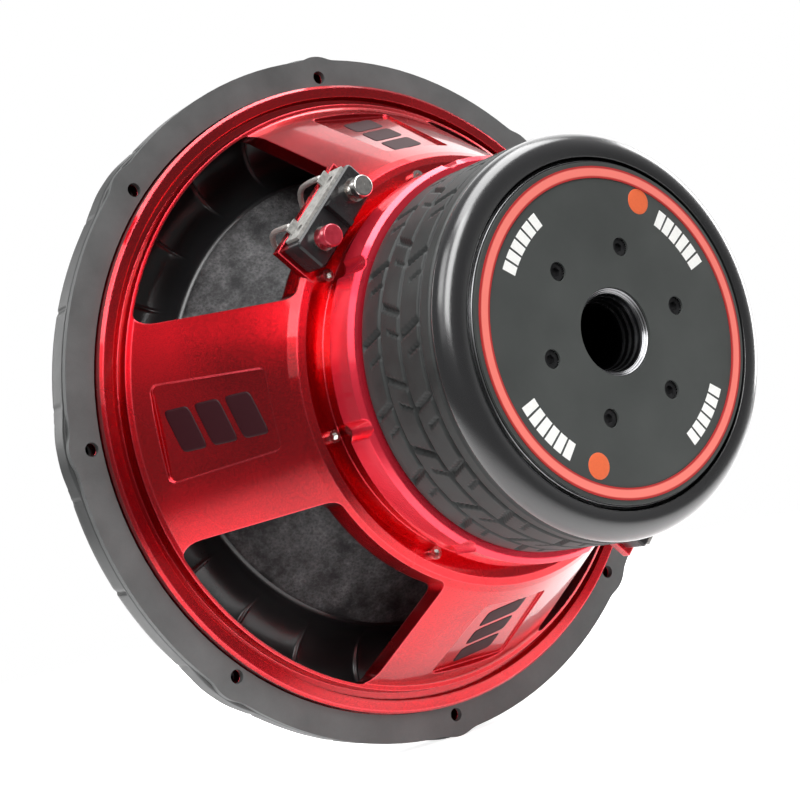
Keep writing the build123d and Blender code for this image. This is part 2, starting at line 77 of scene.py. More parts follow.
AXIS_TILT = math.radians(34.8)
AXIS_LEAN = math.radians(14.9)
CLOCK = math.radians(9.0)
CAMERA_DISTANCE = 0.81
CAMERA_LENS = 80.0
VIEW_SHIFT = (-0.0072, 0.0033)
TABLE_HALF = 1.0
TABLE_MIDDLE = (-0.15, -0.25)
TABLE_SOLID, TABLE_FADED = 0.42, 0.72
GLOW_SEEN, GLOW_GIVEN = 0.8, 0.62


def camera_place():
    """Camera matrix. The driver's axis leans AXIS_TILT away from the line of sight, towards AXIS_LEAN above
    the right of the view; two directions square to it are turned by CLOCK; the inverse of that turn places
    the camera, with the origin off the middle of the view by VIEW_SHIFT of the distance."""
    axis = Vector((math.cos(AXIS_LEAN) * math.sin(AXIS_TILT), math.sin(AXIS_LEAN) * math.sin(AXIS_TILT),
                   math.cos(AXIS_TILT)))
    level = Vector((0, 1, 0)).cross(axis).normalized()
    upright = axis.cross(level)
    across = -(level * math.cos(CLOCK) + upright * math.sin(CLOCK))
    up = upright * math.cos(CLOCK) - level * math.sin(CLOCK)
    turn = Matrix((across, axis, up))
    matrix = turn.to_4x4()
    matrix.translation = -(turn @ (Vector((*VIEW_SHIFT, -1.0)) * CAMERA_DISTANCE))
    return matrix


camera = bpy.data.objects.new("camera", bpy.data.cameras.new("camera"))
bpy.context.scene.collection.objects.link(camera)
camera.data.lens = CAMERA_LENS
camera.data.sensor_width = 36.0
camera.data.clip_start = 0.01
camera.matrix_world = camera_place()
bpy.context.scene.camera = camera
bpy.context.scene.view_settings.view_transform = "Standard"


def softbox(name, place, aim, size, power, along=(0, 0, 1)):
    """Area light at a place, turned towards a point, with its second side as near as it can be to a
    direction."""
    light = bpy.data.lights.new(name, "AREA")
    light.shape = "RECTANGLE"
    light.size, light.size_y = size
    light.energy = power
    lamp = bpy.data.objects.new(name, light)
    bpy.context.scene.collection.objects.link(lamp)
    back = (Vector(place) - Vector(aim)).normalized()
    level = Vector(along).cross(back).normalized()
    turn = Matrix((level, back.cross(level), back)).transposed()
    lamp.matrix_world = Matrix.Translation(place) @ turn.to_4x4()


softbox("light_left", (0.95, 0.3, 0.85), (0, 0.06, 0), (0.5, 0.6), 3.4)
softbox("light_side", (1.05, 0.5, 0.55), (0.05, 0.06, 0), (0.6, 0.6), 1.0)
softbox("light_above", (-0.15, 0.35, 1.5), (0, 0.04, 0), (1.7, 0.9), 27)
softbox("light_strip", (0.5, 0.8, 0.62), (0.03, 0.155, 0), (0.42, 0.85), 8, along=(-0.58, -0.235, 0.71))
softbox("light_right", (-1.2, 0.05, 0.3), (0, 0.1, 0), (0.5, 1.0), 9)
softbox("light_behind", (-0.75, -0.75, 0.85), (0, 0.02, 0), (1.3, 1.0), 5)
softbox("light_front", (0.6, -1.3, 0.5), (0, 0, 0), (0.5, 0.8), 4)


def add(tree, kind, inputs=(), **settings):
    """New shader node: settings are its own attributes, and each input is linked if it is a socket, or else
    set."""
    made = tree.nodes.new("ShaderNode" + kind)
    for setting, value in settings.items():
        setattr(made, setting, value)
    for socket, value in dict(inputs).items():
        if isinstance(value, bpy.types.NodeSocket):
            tree.links.new(value, made.inputs[socket])
        else:
            made.inputs[socket].default_value = value
    return made


def ramp(tree, value, start=0.0, end=1.0, low=0.0, high=1.0, **settings):
    """A value stretched from start and end to low and high, and held between them."""
    ends = {"Value": value, "From Min": start, "From Max": end, "To Min": low, "To Max": high}
    return add(tree, "MapRange", ends, **settings).outputs[0]


def feed(tree, sockets, **sources):
    """Link outputs to a node's named input sockets."""
    for socket, source in sources.items():
        tree.links.new(source, sockets[socket.replace("_", " ")])


def principled(name, **sockets):
    """Material whose Principled BSDF has the named sockets set; gives the material, its tree and the
    shader."""
    made = bpy.data.materials.new(name)
    made.use_nodes = True
    shader = made.node_tree.nodes["Principled BSDF"]
    for socket, value in sockets.items():
        shader.inputs[socket.replace("_", " ")].default_value = value
    return made, made.node_tree, shader


def object_place(tree):
    """Place on the piece, in metres."""
    return add(tree, "TexCoord").outputs["Object"]


def studio_world():
    """Pale room: white to the camera; for everything else a ramp from dim on the viewer's side to paler
    behind."""
    world = bpy.data.worlds.new("studio")
    bpy.context.scene.world = world
    world.use_nodes = True
    tree = world.node_tree
    way = add(tree, "TexCoord").outputs["Generated"]
    behind = add(tree, "VectorMath", {0: way, 1: (-0.75, -0.6, 0.2)}, operation="DOT_PRODUCT")
    room = ramp(tree, behind.outputs["Value"], -0.3, 0.8, 0.2, 0.45, interpolation_type="SMOOTHSTEP")
    seen = add(tree, "LightPath").outputs["Is Camera Ray"]
    shade = tree.nodes["Background"]
    feed(tree, shade.inputs, Color=add(tree, "Mix", {0: seen, 2: room, 3: 1.0}).outputs[0])
    shade.inputs["Strength"].default_value = 1.0


def table_top():
    """Square of pale frosted sheet, lit from below, at the lowest point of the driver. It fades out with
    distance, and looks a little brighter than the light that it gives."""
    low = cad_box[0].z
    mesh = bpy.data.meshes.new("table_top")
    corners = [(x * TABLE_HALF, y * TABLE_HALF, low) for x, y in ((-1, -1), (1, -1), (1, 1), (-1, 1))]
    mesh.from_pydata(corners, [], [(0, 1, 2, 3)])
    top = bpy.data.objects.new("table_top", mesh)
    bpy.context.scene.collection.objects.link(top)
    paper, tree, shader = principled("pale_sheet", Base_Color=(0.86, 0.86, 0.86, 1), Roughness=0.9,
                                     Specular_IOR_Level=0.1, Emission_Color=(1, 1, 1, 1))
    seen = add(tree, "LightPath").outputs["Is Camera Ray"]
    glow = add(tree, "Mix", {0: seen, 2: GLOW_GIVEN, 3: GLOW_SEEN}).outputs[0]
    far = add(tree, "VectorMath", {0: object_place(tree), 1: (*TABLE_MIDDLE, low)}, operation="DISTANCE")
    fade = ramp(tree, far.outputs["Value"], TABLE_SOLID, TABLE_FADED, 1.0, 0.0,
                interpolation_type="SMOOTHSTEP")
    feed(tree, shader.inputs, Emission_Strength=glow, Alpha=fade)
    mesh.materials.append(paper)


studio_world()
table_top()

# -------------------------------------------------------- basket
# The frame is one casting with four broad spokes and open windows. It has a metallic candy coat: a red
# lacquer full of fine flakes under a clear coat, with the faint ripple of sprayed paint. Its flange carries
# everything else.

CANDY_DEEP = (0.34, 0.0012, 0.006, 1)
CANDY_BRIGHT = (0.78, 0.004, 0.014, 1)
CANDY_PAINTED_EDGE_HIGHLIGHT = (1.0, 0.09, 0.12, 1)
CANDY_PAINTED_SHADE = (0.22, 0.0008, 0.005, 1)
CANDY_RING_PAINTED_HIGHLIGHT = (1.0, 0.034, 0.07, 1)
MOTOR_RING_Y = 0.0884


def tint(tree, share, low, high):
    """Colour that goes from low to high with a share."""
    return add(tree, "Mix", {0: share, 6: low, 7: high}, data_type="RGBA").outputs[2]


def maths(tree, operation, *values, **settings):
    """Result of one operation on one to three values."""
    return add(tree, "Math", dict(enumerate(values)), operation=operation, **settings).outputs[0]


def noise(tree, where, scale, detail, **sockets):
    """Cloudy noise in space."""
    return add(tree, "TexNoise", {"Vector": where, "Scale": scale, "Detail": detail, **sockets}).outputs[0]


def wear(tree, shader, height, distance):
    """Bump of a height into the shader's normal; the distance is in metres, for a height of 1."""
    bump = add(tree, "Bump", {"Height": height, "Distance": distance})
    feed(tree, shader.inputs, Normal=bump.outputs["Normal"])


def candy_coat():
    """Lacquer over flakes. It has a painted highlight on edges, a paler pink where the normal of a rounded
    edge leaves that of the face; painted shade in grooves, a deeper red where the surroundings are closed
    off; and a painted highlight on the motor ring behind a station along Y, a lighter colour where it is also
    less metallic."""
    coat, tree, shader = principled("candy_coat", Coat_Weight=0.8, Coat_Roughness=0.06)
    where = object_place(tree)
    flakes = add(tree, "TexVoronoi", {"Vector": where, "Scale": 2600.0})
    spark = add(tree, "SeparateColor", {0: flakes.outputs["Color"]}).outputs[0]
    cloud = noise(tree, where, 14.0, 2.0)
    share = ramp(tree, maths(tree, "MULTIPLY_ADD", spark, 0.35, cloud), 0.35, 0.95)
    colour = tint(tree, share, CANDY_DEEP, CANDY_BRIGHT)
    # Painted shade: where ambient occlusion finds closed-off surroundings, the colour goes to a deeper red.
    open_air = add(tree, "AmbientOcclusion", {"Distance": 0.009}, samples=4).outputs["AO"]
    colour = tint(tree, ramp(tree, open_air, 0.1, 0.45, 1.0, 0.0), colour, CANDY_PAINTED_SHADE)
    # Painted highlight: rounded edges are tinted a pale pink, by how far the bevel normal leaves the face
    # normal.
    rounded_edge = add(tree, "Bevel", {"Radius": 0.0009}, samples=4).outputs["Normal"]
    face = add(tree, "NewGeometry").outputs["Normal"]
    same = add(tree, "VectorMath", {0: rounded_edge, 1: face}, operation="DOT_PRODUCT").outputs["Value"]
    colour = tint(tree, ramp(tree, same, 0.995, 0.93, 0.0, 0.85), colour, CANDY_PAINTED_EDGE_HIGHLIGHT)
    # Painted highlight: behind MOTOR_RING_Y the motor ring gets a lighter pink-red colour; it is also less
    # metallic there.
    station = add(tree, "SeparateXYZ", {0: where}).outputs["Y"]
    ring = ramp(tree, station, MOTOR_RING_Y, MOTOR_RING_Y + 0.0004)
    ripple = maths(tree, "MULTIPLY_ADD", spark, 0.1, noise(tree, where, 240.0, 1.0))
    bump = add(tree, "Bump", {"Height": ripple, "Distance": 0.00004, "Strength": 0.5, "Normal": rounded_edge})
    feed(tree, shader.inputs, Base_Color=tint(tree, ring, colour, CANDY_RING_PAINTED_HIGHLIGHT), Normal=bump.outputs["Normal"],
         Metallic=ramp(tree, ring, low=0.96, high=0.72), Roughness=ramp(tree, cloud, 0.35, 0.7, 0.22, 0.3))
    return coat


def finish_with(material, *names):
    """Give CAD nodes a material as their only one."""
    for name in names:
        slots = nodes[name].data.materials
        slots.clear()
        slots.append(material)


finish_with(candy_coat(), "basket")
MM = 0.001
PANEL_MIDDLE_R, PANEL_MIDDLE_Y = 112.75, 40.25
PANEL_SLOPE = math.atan2(63.5, 37.5)
PANEL_DEPTH = 2.4
MARK_HALF_LENGTH, MARK_HALF_WIDTH = 6.0, 9.2
MARK_PITCH, MARK_SHIFT = 14.6, 0.5


def ink(name, colour, rough):
    """Flat print: an opaque colour that is a little uneven, as screen ink is."""
    made, tree, shader = principled(name, Roughness=rough, Specular_IOR_Level=0.25)
    mottle = noise(tree, object_place(tree), 900.0, 4.0)
    thin = [0.84 * part for part in colour]
    feed(tree, shader.inputs, Base_Color=tint(tree, mottle, (*thin, 1), (*colour, 1)))
    wear(tree, shader, mottle, 0.00002)
    return made


def full_turn(count):
    """Angles of a whole turn in equal steps, without the last."""
    return np.linspace(0, 2 * np.pi, count, endpoint=False)


def skin(name, points, ring=True, loop=True, smooth=True):
    """Surface through a grid of points, rows by columns. Each cell is one four-sided face; the last column
    joins the first for a ring and the last row joins the first for a loop. Points that fall together are
    merged, and the normals are then turned outwards."""
    number = np.arange(points.shape[0] * points.shape[1]).reshape(points.shape[:2])
    across = np.roll(number, -1, axis=1)
    cells = np.stack([number, across, np.roll(across, -1, axis=0), np.roll(number, -1, axis=0)], axis=-1)
    cells = cells if loop else cells[:-1]
    cells = cells if ring else cells[:, :-1]
    mesh = bpy.data.meshes.new(name)
    mesh.from_pydata(points.reshape(-1, 3).tolist(), [], cells.reshape(-1, 4).tolist())
    tidy = bmesh.new()
    tidy.from_mesh(mesh)
    bmesh.ops.remove_doubles(tidy, verts=tidy.verts, dist=1e-7)
    bmesh.ops.recalc_face_normals(tidy, faces=tidy.faces)
    tidy.to_mesh(mesh)
    tidy.free()
    if smooth:
        mesh.shade_smooth()
    piece = bpy.data.objects.new(name, mesh)
    bpy.context.scene.collection.objects.link(piece)
    return piece


def dress(piece, body, material, slot, *stands_for):
    """Give a new piece its material, its body and the CAD nodes that it stands for, which are hidden. The
    slot is not used."""
    piece.data.materials.append(material)
    if body:
        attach(piece, body)
    if stands_for:
        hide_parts(*stands_for)
    return piece


def spoke_mark(angle, block):
    """One of three plain slanted blocks in a row on a spoke's panel. A block is a rounded square, |u|^8 +
    |v|^8 = 1, sheared by three tenths and laid with a low crown on the panel's floor, which slopes with the
    spoke."""
    turn = full_turn(64)
    reach = (np.abs(np.cos(turn)) ** 8 + np.abs(np.sin(turn)) ** 8) ** (-1 / 8)
    share = np.array([0.0, 0.9, 1.0, 1.0, 0.0])[:, None]
    lift = np.array([0.16, 0.16, 0.1, -0.2, -0.2])[:, None] + 0 * turn
    sideways = share * reach * np.sin(turn) * MARK_HALF_WIDTH
    along = share * reach * np.cos(turn) * MARK_HALF_LENGTH - 0.3 * sideways + block * MARK_PITCH + MARK_SHIFT
    depth = lift - PANEL_DEPTH
    radius = PANEL_MIDDLE_R + along * math.cos(PANEL_SLOPE) + depth * math.sin(PANEL_SLOPE)
    station = PANEL_MIDDLE_Y - along * math.sin(PANEL_SLOPE) + depth * math.cos(PANEL_SLOPE)
    out = np.array([-math.cos(angle), 0, math.sin(angle)])
    beside = np.array([math.sin(angle), 0, math.cos(angle)])
    spots = radius[..., None] * out + sideways[..., None] * beside + station[..., None] * np.array([0, 1, 0])
    return spots * MM


mark_ink = ink("panel_ink", (0.028, 0.001, 0.004), 0.5)
for spoke in range(4):
    for block in (-1, 0, 1):
        surface = spoke_mark(math.radians(90 * spoke), block)
        mark = skin(f"panel_mark_{spoke}_{block + 1}", surface, loop=False)
        dress(mark, "frame", mark_ink, "basket_red")

# -------------------------------------------------------- rear gasket and front gasket
# Two moulded rubber rings clamp the flange. The rear one is the flat band that seals on the baffle. The front
# one is the thick trim that the listener sees: an inner ridge, a channel, a pad between each two bolts and a
# well round each bolt.

BOLTS = 8
BOLT_CIRCLE = 148.5
WELL_FLOOR = -13.0
WELL_INNER = 146.2
WELL_HALF_WIDTH = 13.0
GASKET_EDGE = 156.6
GASKET_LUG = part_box("front_gasket")[1].x / MM


def shader_group(name, inputs, outputs):
    """Empty node group with named inputs, each with its kind and value, and named outputs."""
    tree = bpy.data.node_groups.new(name, "ShaderNodeTree")
    for socket, (kind, value) in inputs.items():
        made = tree.interface.new_socket(socket, in_out="INPUT", socket_type="NodeSocket" + kind)
        made.default_value = value
    for socket, kind in outputs.items():
        tree.interface.new_socket(socket, in_out="OUTPUT", socket_type="NodeSocket" + kind)
    return tree, tree.nodes.new("NodeGroupInput").outputs, tree.nodes.new("NodeGroupOutput").inputs


def moulded_skin():
    """Skin of moulded rubber or plastic: cloudy bloom between two colours, a fine grain, and a roughness and
    a height that follow both."""
    tree, given, wanted = shader_group(
        "moulded_skin",
        {"Dark": ("Color", (0.02, 0.02, 0.02, 1)), "Bloom": ("Color", (0.06, 0.06, 0.06, 1)),
         "Cloud Scale": ("Float", 30.0), "Grain Scale": ("Float", 1500.0),
         "Rough Low": ("Float", 0.4), "Rough High": ("Float", 0.6)},
        {"Color": "Color", "Roughness": "Float", "Height": "Float"})
    where = object_place(tree)
    cloud = noise(tree, where, given["Cloud Scale"], 5.0, Roughness=0.62)
    grain = noise(tree, where, given["Grain Scale"], 2.0)
    both = maths(tree, "MULTIPLY_ADD", grain, 0.35, ramp(tree, cloud, 0.34, 0.68))
    share = maths(tree, "MULTIPLY", both, 0.75, use_clamp=True)
    feed(tree, wanted, Color=tint(tree, share, given["Dark"], given["Bloom"]), Height=grain,
         Roughness=ramp(tree, share, low=given["Rough Low"], high=given["Rough High"]))
    return tree


MOULDED = moulded_skin()


def moulded_surface(tree, dark, bloom, rough, cloud, grain):
    """Outputs of the moulded skin between two tones, with its own range of roughness and scales."""
    values = {"Dark": (*dark, 1), "Bloom": (*bloom, 1), "Cloud Scale": cloud, "Grain Scale": grain,
              "Rough Low": rough[0], "Rough High": rough[1]}
    return add(tree, "Group", values, node_tree=MOULDED).outputs


def moulded(name, dark, bloom, rough, cloud=30.0, grain=1500.0, relief=0.00003, **sockets):
    """Material with the moulded skin, between two grey or coloured tones."""
    made, tree, shader = principled(name, **sockets)
    surface = moulded_surface(tree, dark, bloom, rough, cloud, grain)
    feed(tree, shader.inputs, Base_Color=surface["Color"], Roughness=surface["Roughness"])
    wear(tree, shader, surface["Height"], relief)
    return made


gasket_rubber = moulded("gasket_rubber", (0.066, 0.069, 0.069), (0.118, 0.122, 0.122), (0.45, 0.62))
finish_with(gasket_rubber, "rear_gasket")


def place(radius, station, angle):
    """Points from their distance to the driver's axis, their station along it and their angle seen from
    behind."""
    spots = np.broadcast_arrays(-radius * np.cos(angle), station, radius * np.sin(angle))
    return np.stack(spots, axis=-1) * MM


def rounded(corners, reach, count):
    """Closed outline of (radius, station) corners: each corner becomes a quadratic curve that begins and ends
    up to reach away from it, and the whole is then stepped off in equal lengths."""
    corners = np.array(corners, float)
    back, ahead = np.roll(corners, 1, axis=0) - corners, np.roll(corners, -1, axis=0) - corners
    back_run, ahead_run = (np.linalg.norm(side, axis=1, keepdims=True) for side in (back, ahead))
    reach = np.minimum(reach, 0.45 * np.minimum(back_run, ahead_run))
    start, end = corners + back / back_run * reach, corners + ahead / ahead_run * reach
    t = np.linspace(0, 1, 7)[None, :, None]
    curves = (1 - t) ** 2 * start[:, None] + 2 * t * (1 - t) * corners[:, None] + t**2 * end[:, None]
    return equal_steps(np.concatenate([curves.reshape(-1, 2), curves[0, :1]]), count)


def equal_steps(line, count):
    """The same line, closed or open, stepped off in count equal lengths; its last point is left out."""
    run = np.concatenate([[0], np.cumsum(np.linalg.norm(np.diff(line, axis=0), axis=1))])
    at = np.linspace(0, run[-1], count, endpoint=False)
    return np.stack([np.interp(at, run, line[:, axis]) for axis in range(line.shape[1])], axis=1)


def smooth_step(value, low, high):
    """0 below low, 1 above high, and 3t^2 - 2t^3 between."""
    t = np.clip((value - low) / (high - low), 0, 1)
    return t * t * (3 - 2 * t)


def gasket_surface():
    """Rounded profile carried round the axis. Its outer side swells at the bolts; in the well of each bolt
    its front is pushed back to the floor of the well, and within the bolt's hole five millimetres further. A
    seam crosses the middle of each pad and runs down the outer wall, and two narrower ones stand beside each
    well."""
    sector = 2 * np.pi / BOLTS
    spans = ((0, 1.5, 10), (1.5, 4.4, 5), (4.4, 5.6, 7), (5.6, 8.5, 8), (8.5, 21.4, 7), (21.4, 22.5, 8))
    half = np.concatenate([np.linspace(*span, endpoint=False) for span in spans])
    from_bolt = np.radians(np.concatenate([half, -half[1:], [22.5]]))
    from_bolt.sort()
    offset = np.tile(from_bolt, BOLTS)
    angle = np.repeat(np.arange(BOLTS) * sector, len(from_bolt)) + offset
    corners = [(139.0, -9.9), (139.8, -21.4), (141.6, -22.4), (143.5, -21.4), (144.1, -16.2), (145.6, -16.2),
               (147.0, -19.6), (153.6, -19.0), (158.2, -14.0), (158.4, -3.0), (154.8, -3.0), (154.8, -8.0),
               (150.4, -8.0), (150.4, -9.9)]
    radius, station = rounded(corners, 1.3, 104).T[:, :, None] + 0 * offset
    swell = np.exp(-((np.abs(offset) / math.radians(5.4)) ** 3))
    edge = GASKET_EDGE + (GASKET_LUG - GASKET_EDGE) * swell
    outer = smooth_step(radius, 154.8, 158.4)
    radius = radius - outer * (GASKET_LUG - edge)
    sideways = BOLT_CIRCLE * offset
    well = 1 - smooth_step(np.abs(sideways), WELL_HALF_WIDTH - 0.5, WELL_HALF_WIDTH + 0.5)
    well = well * smooth_step(radius, WELL_INNER - 0.3, WELL_INNER + 0.4)
    station = station + well * (np.maximum(station, WELL_FLOOR) - station)
    front = 1 - smooth_step(station, -12.9, -9.0)
    hole = np.hypot(sideways, radius - BOLT_CIRCLE)
    station = station + front * 5.0 * (1 - smooth_step(hole, 2.5, 3.2))
    pad = front * smooth_step(radius, 146.0, 147.0)
    wall = outer * (1 - smooth_step(station, -6.0, -4.0))
    for seam, width, depth in ((22.5, 0.9, 1.1), (7.2, 0.7, 0.7)):
        gap = BOLT_CIRCLE * (np.abs(offset) - math.radians(seam))
        cut = depth * np.exp(-((gap / width) ** 2))
        station, radius = station + pad * cut, radius - 0.7 * wall * cut
    return place(radius, station, angle)


# Painted shade: the trim's rubber is given a darker colour than the rear gasket's, to offset the stronger
# light on the front.
trim_rubber_painted_shade = moulded("trim_rubber_painted_shade", (0.024, 0.025, 0.025), (0.054, 0.055, 0.055), (0.34, 0.5))
dress(skin("gasket_trim", gasket_surface()), "frame", trim_rubber_painted_shade, "gasket_rubber", "front_gasket")

# -------------------------------------------------------- surround
# The surround is the rubber half roll between the cone and the flange. It is moulded with twenty-four
# sections, so that it bulges between narrow radial creases. Its inner lip is glued on the cone and its outer
# lip is under the gasket.

ROLL_IN, ROLL_OUT = 102.5, 138.5
ROLL_BASE = -9.8
ROLL_WALL = 1.8
ROLL_SECTIONS = 24
CONE_EDGE_R, CONE_EDGE_Y = 102.0, -9.0
CONE_NECK_R, CONE_NECK_Y = 33.6, 48.5


def cone_face(radius):
    """Station of the cone's front face, straight from its neck to its edge."""
    return CONE_NECK_Y + (CONE_EDGE_Y - CONE_NECK_Y) * (radius - CONE_NECK_R) / (CONE_EDGE_R - CONE_NECK_R)


def surround_surface():
    """Half circle between two lips, with its wall, carried round the axis. Between two creases the roll
    falls back from the middle of a section as (2u)^4, where u is -1/2 to 1/2 across it; each crease is a
    narrow bell-shaped groove. Both fade out down the inner side of the roll."""
    middle, roll = (ROLL_IN + ROLL_OUT) / 2, (ROLL_OUT - ROLL_IN) / 2
    sweep = np.linspace(0, np.pi, 40)
    front = np.stack([middle + roll * np.cos(sweep), ROLL_BASE - roll * np.sin(sweep)], axis=1)
    back = np.stack([middle - (roll - ROLL_WALL) * np.cos(sweep[::2]),
                     ROLL_BASE - (roll - ROLL_WALL) * np.sin(sweep[::2])], axis=1)
    foot, tip = cone_face(ROLL_IN) - 0.35, cone_face(90.0) - 0.35
    inner_lip = np.array([(101.0, foot - 1.1), (95.5, (foot + tip) / 2 - 1.15), (90.6, tip - 1.1),
                          (90.0, tip - 0.7), (90.0, tip), (96.0, (foot + tip) / 2), (ROLL_IN, foot)])
    outer_lip = np.array([(ROLL_OUT - ROLL_WALL, -8.0), (144.0, -8.0), (150.0, -8.0), (150.0, -9.8),
                          (144.0, -9.8)])
    no_inner, no_outer = np.zeros(len(inner_lip)), np.zeros(len(outer_lip))
    line = np.concatenate([front, inner_lip, back, outer_lip])
    rise = np.concatenate([np.sin(sweep), no_inner, np.sin(sweep[::2]), no_outer])
    normal = np.concatenate([front - (middle, ROLL_BASE), np.zeros((len(inner_lip), 2)),
                             back - (middle, ROLL_BASE), np.zeros((len(outer_lip), 2))])
    normal = normal / np.maximum(np.linalg.norm(normal, axis=1, keepdims=True), 1e-6)
    crease = np.concatenate([np.linspace(-0.5, -0.4, 9), np.linspace(-0.37, 0.37, 10),
                             np.linspace(0.4, 0.5, 9)[:-1]])
    u = np.tile(crease, ROLL_SECTIONS)
    angle = (np.repeat(np.arange(ROLL_SECTIONS), len(crease)) + 0.5 + u) * 2 * np.pi / ROLL_SECTIONS
    arc = middle * 2 * np.pi / ROLL_SECTIONS
    groove = np.exp(-(((0.5 - np.abs(u)) * arc / 0.75) ** 2))
    offset = -0.9 * (2 * u) ** 4 - 1.1 * groove
    inward = np.concatenate([sweep, no_inner + np.pi, np.pi - sweep[::2], no_outer])
    fade = np.minimum(rise * 1.6, 1.0) * (1 - smooth_step(inward, 0.5 * np.pi, 0.86 * np.pi))
    push = fade[:, None] * offset
    radius = line[:, :1] + normal[:, :1] * push
    station = line[:, 1:] + normal[:, 1:] * push
    return place(radius, station, angle)


def follow_cone(piece):
    """Bake a piece's transform into its mesh and read its vertex positions, which are not used
    further."""
    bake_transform(piece)
    spots = np.zeros(len(piece.data.vertices) * 3)
    piece.data.vertices.foreach_get("co", spots)


surround_rubber = moulded("surround_rubber", (0.010, 0.010, 0.011), (0.026, 0.026, 0.027), (0.26, 0.4),
                          cloud=18.0, relief=0.00002, Coat_Weight=0.35, Coat_Roughness=0.2)
half_roll = skin("surround_roll", surround_surface())
follow_cone(dress(half_roll, None, surround_rubber, "surround_rubber", "surround"))

# -------------------------------------------------------- cone
# The cone is pressed from black paper pulp. Its face shows fibres and faint pressing rings, and its back,
# seen through the windows, is rougher and greyer. It is glued on the coil former at its neck.


def fibre_skin():
    """Felted fibres: noise drawn out by its own distortion, with a speckle of cells over it; gives a tone and
    a height."""
    tree, given, wanted = shader_group("fibre_skin", {"Scale": ("Float", 300.0)},
                                       {"Tone": "Float", "Height": "Float"})
    where = object_place(tree)
    felt = noise(tree, where, given["Scale"], 8.0, Roughness=0.7, Distortion=2.0)
    specks = add(tree, "TexVoronoi", {"Vector": where, "Scale": given["Scale"]}).outputs["Distance"]
    mixed = maths(tree, "MULTIPLY_ADD", specks, 0.4, felt)
    feed(tree, wanted, Tone=ramp(tree, mixed, 0.35, 0.95), Height=mixed)
    return tree


FIBRE = fibre_skin()


def fibrous(name, dark, light, rough, scale, relief, **sockets):
    """Matt fibrous material between two tones."""
    made, tree, shader = principled(name, Roughness=rough, **sockets)
    felt = add(tree, "Group", {"Scale": scale}, node_tree=FIBRE).outputs
    feed(tree, shader.inputs, Base_Color=tint(tree, felt["Tone"], (*dark, 1), (*light, 1)))
    wear(tree, shader, felt["Height"], relief)
    return made


def cone_surface():
    """Closed wall of the cone. The front has two shallow pressing rings, each a bell in the radius, and the
    back a slow ripple that runs round it five and nine times and drifts along it."""
    plain = np.linspace(CONE_NECK_R, CONE_EDGE_R, 50)
    rings = (60.5, 86.6)
    near = np.concatenate([ring + np.linspace(-1.6, 1.6, 13) for ring in rings])
    radius = np.sort(np.concatenate([plain, near]))
    station = cone_face(radius) + 0.45 * sum(np.exp(-(((radius - ring) / 0.6) ** 2)) for ring in rings)
    front = np.stack([radius, station], axis=1)
    back = np.stack([plain + 1.25, cone_face(plain) + 1.55], axis=1)[::-1]
    neck = np.array([(34.4, 58.0), (32.7, 58.0), (32.7, 49.2)])
    line = np.concatenate([front, [(CONE_EDGE_R + 0.9, CONE_EDGE_Y + 0.5)], back, neck])
    angle = full_turn(300)
    rough = np.zeros(len(line))
    rough[len(front) + 1:len(front) + 1 + len(back)] = np.sin(np.linspace(0, np.pi, len(back)))
    ripple = 0.16 * np.sin(5 * angle + 0.24 * line[:, :1]) + 0.12 * np.sin(9 * angle - 0.31 * line[:, :1])
    radius = line[:, :1] + rough[:, None] * (ripple - 0.25)
    return place(radius, line[:, 1:] + 0 * angle, angle)


def cone_paper():
    """Pressed paper pulp: close and even on the face, open and mottled on the back, told apart by the
    normal's Y."""
    made, tree, shader = principled("cone_pulp", Specular_IOR_Level=0.4)
    felt = add(tree, "Group", {"Scale": 700.0}, node_tree=FIBRE).outputs
    blotch = ramp(tree, noise(tree, object_place(tree), 75.0, 6.0, Roughness=0.7), 0.38, 0.66)
    facing = add(tree, "SeparateXYZ", {0: add(tree, "NewGeometry").outputs["Normal"]}).outputs["Y"]
    behind = ramp(tree, facing, -0.1, 0.1)
    rear = maths(tree, "MULTIPLY", felt["Tone"], blotch)
    face = maths(tree, "MULTIPLY_ADD", felt["Tone"], 0.14, 0.06)
    tone = add(tree, "Mix", {0: behind, 2: face, 3: rear}).outputs[0]
    feed(tree, shader.inputs, Base_Color=tint(tree, tone, (0.011, 0.011, 0.012, 1), (0.15, 0.15, 0.153, 1)),
         Roughness=ramp(tree, behind, low=0.46, high=0.66))
    wear(tree, shader, felt["Height"], ramp(tree, behind, low=0.00006, high=0.0003))
    return made


dress(skin("cone_shell", cone_surface()), "cone_assembly", cone_paper(), "cone_pulp", "cone")

# -------------------------------------------------------- dust cap and its ring
# The dust cap is a shallow composite dome glued over the neck of the cone. A groove runs inside its rim and a
# twill shows faintly under its lacquer. A plain raised ring is moulded above its middle.

CAP_RADIUS = 56.0
CAP_RISE = 18.0
CAP_TOP = cone_face(CAP_RADIUS) - 0.4 - CAP_RISE
CAP_BEND = CAP_RADIUS - 3.0
CAP_WALL = 1.2
TWILL_THREADS = 620.0
CAP_BALL = (CAP_BEND**2 + CAP_RISE**2) / (2 * CAP_RISE)
BADGE_UP = 19.0
BADGE_R = 12.0
BADGE_HALF_WIDTH, BADGE_HEIGHT = 2.2, 1.3


